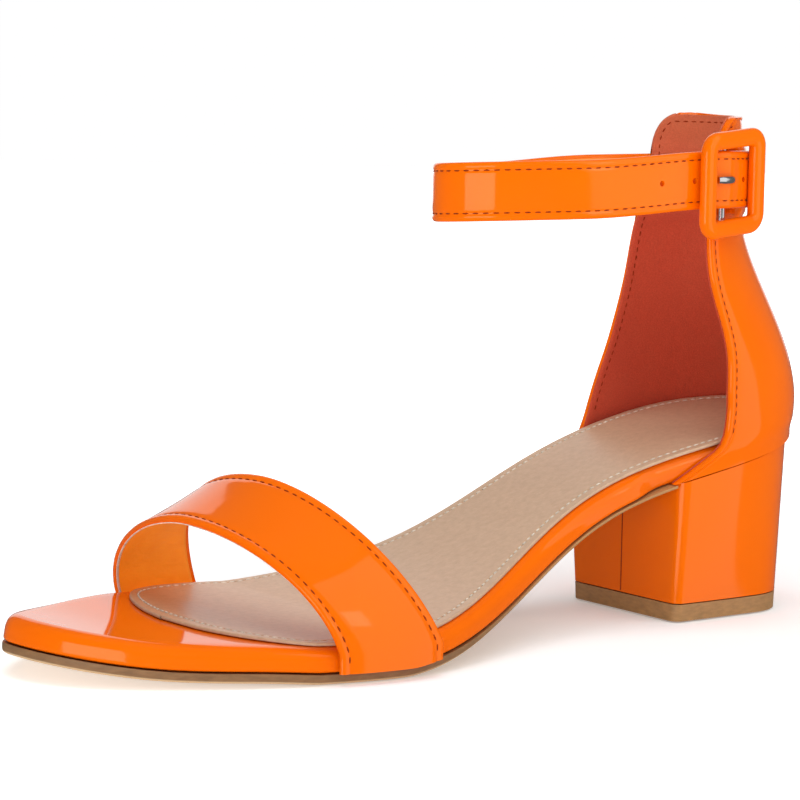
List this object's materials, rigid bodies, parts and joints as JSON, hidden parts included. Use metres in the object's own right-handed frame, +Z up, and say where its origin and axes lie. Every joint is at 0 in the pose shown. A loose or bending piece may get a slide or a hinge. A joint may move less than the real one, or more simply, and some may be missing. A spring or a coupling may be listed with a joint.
{
  "type": "block heel sandal",
  "caption": "Left women's block heel sandal with a broad toe band, a closed back and a buckled ankle strap.",
  "frame": {"origin": "middle of the heel lift's floor face", "axes": "+X to the toe, +Y to the outer side of the foot, +Z up from the floor"},
  "size_m": [0.2355, 0.0924, 0.1332],
  "materials": {
    "tan_rubber": "satin",
    "patent": "gloss",
    "sock": "satin",
    "chrome": "polished"
  },
  "bodies": {
    "root": {"outsole": "tan_rubber", "platform": "patent", "insole": "sock", "heel_block": "patent", "heel_lift": "tan_rubber", "vamp_strap": "patent", "heel_counter": "patent", "ankle_strap": "patent", "buckle_frame": "patent", "buckle_bar": "chrome", "buckle_prong": "chrome"}
  },
  "joints": []
}
